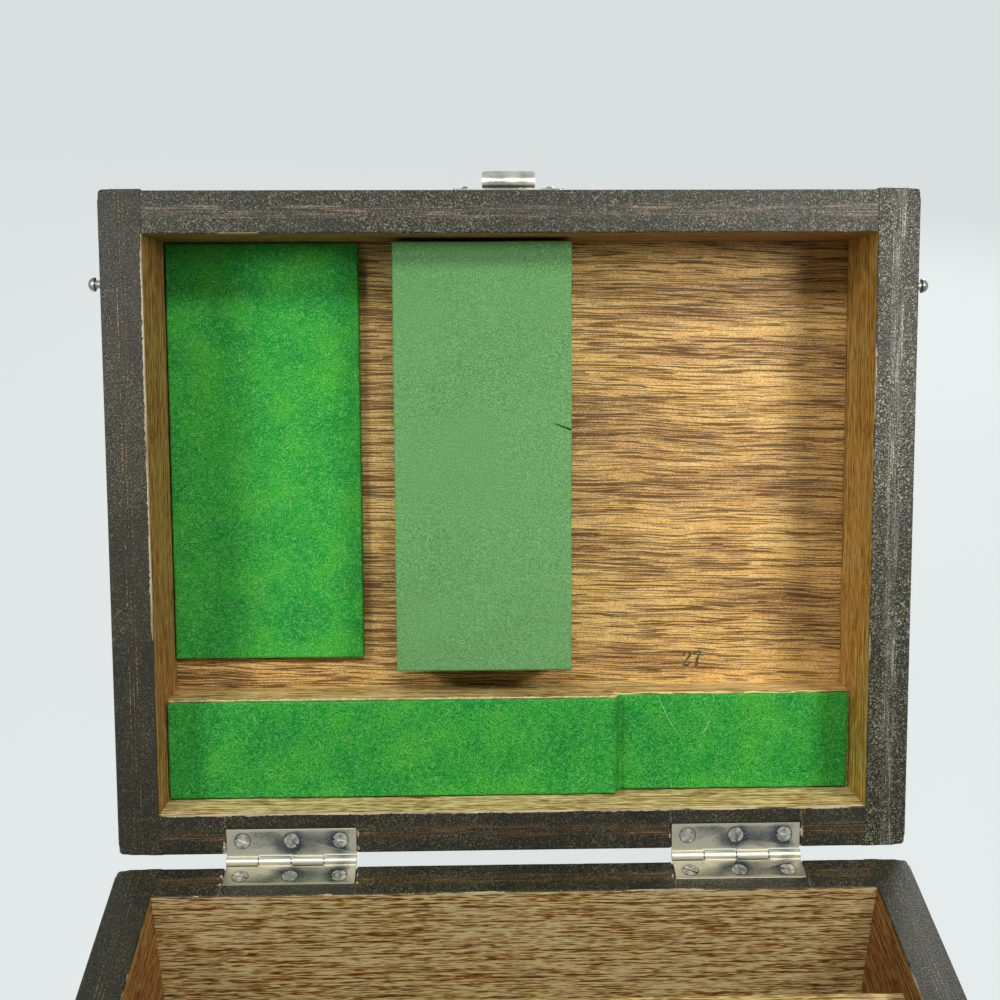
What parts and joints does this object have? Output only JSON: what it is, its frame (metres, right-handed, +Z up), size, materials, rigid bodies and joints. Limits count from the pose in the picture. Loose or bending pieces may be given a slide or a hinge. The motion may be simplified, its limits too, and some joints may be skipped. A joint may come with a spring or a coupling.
{
  "type": "microscope accessory box",
  "caption": "Small plywood case with a hinged lid, felt and foam press pads, a stepped batten, butt hinges, a front draw catch and side hooks.",
  "frame": {"origin": "centre of the underside of the body", "axes": "+Z up from the base, hinges on the +Y side, catch on the -Y side, +X to the right as seen from the front"},
  "size_m": [0.2424, 0.3037, 0.2638],
  "materials": {
    "painted_plywood": "dark grey-brown paint, semi-gloss, varnished inside",
    "mahogany_plywood": "clear varnish over open-pored mahogany veneer",
    "varnished_wood": "clear varnish",
    "felt": "green wool felt",
    "foam": "fine-celled grey-green foam",
    "nickel_plate": "nickel plate, a little tarnished"
  },
  "bodies": {
    "case": {"body_left_wall": "painted_plywood", "body_right_wall": "painted_plywood", "body_front_wall": "painted_plywood", "body_back_wall": "painted_plywood", "body_bottom_panel": "painted_plywood", "long_divider": "varnished_wood", "left_divider": "varnished_wood", "right_divider": "varnished_wood", "back_bay_felt": "felt", "left_bay_felt": "felt", "middle_bay_felt": "felt", "right_bay_felt": "felt", "left_hinge_body_leaf": "nickel_plate", "right_hinge_body_leaf": "nickel_plate", "left_hinge_pin": "nickel_plate", "right_hinge_pin": "nickel_plate", "left_hinge_body_screws": "nickel_plate", "right_hinge_body_screws": "nickel_plate", "catch_base": "nickel_plate", "catch_lever_pin": "nickel_plate", "catch_base_screws": "nickel_plate", "left_hook_screw": "nickel_plate", "right_hook_screw": "nickel_plate", "left_hook_washer": "nickel_plate", "right_hook_washer": "nickel_plate"},
    "lid": {"lid_left_wall": "painted_plywood", "lid_right_wall": "painted_plywood", "lid_front_wall": "painted_plywood", "lid_back_wall": "painted_plywood", "lid_panel": "mahogany_plywood", "lid_batten": "varnished_wood", "batten_felt": "felt", "lid_felt_pad": "felt", "lid_foam_pad": "foam", "left_hinge_lid_leaf": "nickel_plate", "right_hinge_lid_leaf": "nickel_plate", "left_hinge_lid_screws": "nickel_plate", "right_hinge_lid_screws": "nickel_plate", "keeper": "nickel_plate", "keeper_screws": "nickel_plate", "left_stud": "nickel_plate", "right_stud": "nickel_plate"},
    "lever": {"catch_lever": "nickel_plate"},
    "bail": {"catch_bail": "nickel_plate"},
    "left_hook_arm": {"left_hook": "nickel_plate"},
    "right_hook_arm": {"right_hook": "nickel_plate"}
  },
  "joints": [
    {"name": "lid_hinge", "type": "hinge", "parent": "case", "child": "lid", "pos_m": [0, 0.0983, 0.07815], "axis": [-1, 0, 0], "range_deg": [-110, 75]},
    {"name": "catch_lever", "type": "hinge", "parent": "case", "child": "lever", "pos_m": [-0.0009, -0.1002, 0.0625], "axis": [1, 0, 0], "range_deg": [-150, 0]},
    {"name": "catch_bail", "type": "hinge", "parent": "lever", "child": "bail", "pos_m": [-0.0009, -0.0995, 0.0565], "axis": [-1, 0, 0], "range_deg": [-4, 182]},
    {"name": "left_hook", "type": "hinge", "parent": "case", "child": "left_hook_arm", "pos_m": [-0.1178, -0.07, 0.056], "axis": [1, 0, 0], "range_deg": [-90, 180]},
    {"name": "right_hook", "type": "hinge", "parent": "case", "child": "right_hook_arm", "pos_m": [0.1178, -0.0688, 0.056], "axis": [1, 0, 0], "range_deg": [-90, 180]}
  ]
}
